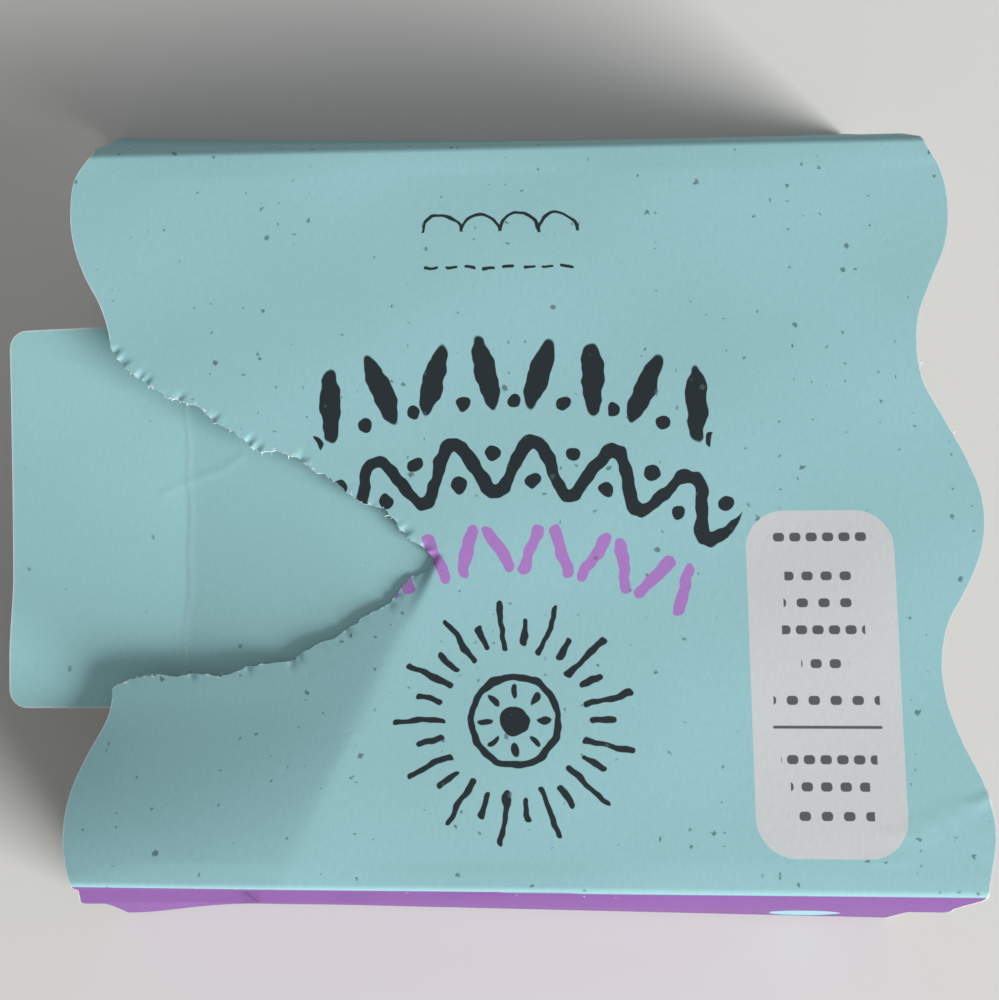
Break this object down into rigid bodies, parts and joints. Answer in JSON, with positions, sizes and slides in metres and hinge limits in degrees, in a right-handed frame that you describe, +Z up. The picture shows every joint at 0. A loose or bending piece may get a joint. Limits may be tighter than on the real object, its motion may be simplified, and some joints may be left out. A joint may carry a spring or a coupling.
{
  "type": "torn-open card cake sleeve",
  "caption": "Opened card sleeve for cakes: a tapered tube with wavy open ends, a pointed tongue torn out of its top, and a creased closing flap that stands open under the tear.",
  "frame": {"origin": "under the middle of the whole, on the surface that the base panel rests on", "axes": "+X along the sleeve, away from the torn end; +Y from the front wall to the back wall; +Z up"},
  "size_m": [0.1556, 0.1462, 0.0478],
  "materials": {
    "printed_card": "matt printed card",
    "strip_card": "matt printed card"
  },
  "bodies": {
    "root": {"sleeve": "printed_card", "inner_strip": "strip_card"},
    "flap": {"end_flap": "strip_card"}
  },
  "joints": [
    {"name": "flap_crease", "type": "hinge", "parent": "root", "child": "flap", "pos_m": [-0.04705, -0.0048, 0.03655], "axis": [0, 0.9983, 0.0589], "range_deg": [-76, 0]}
  ]
}
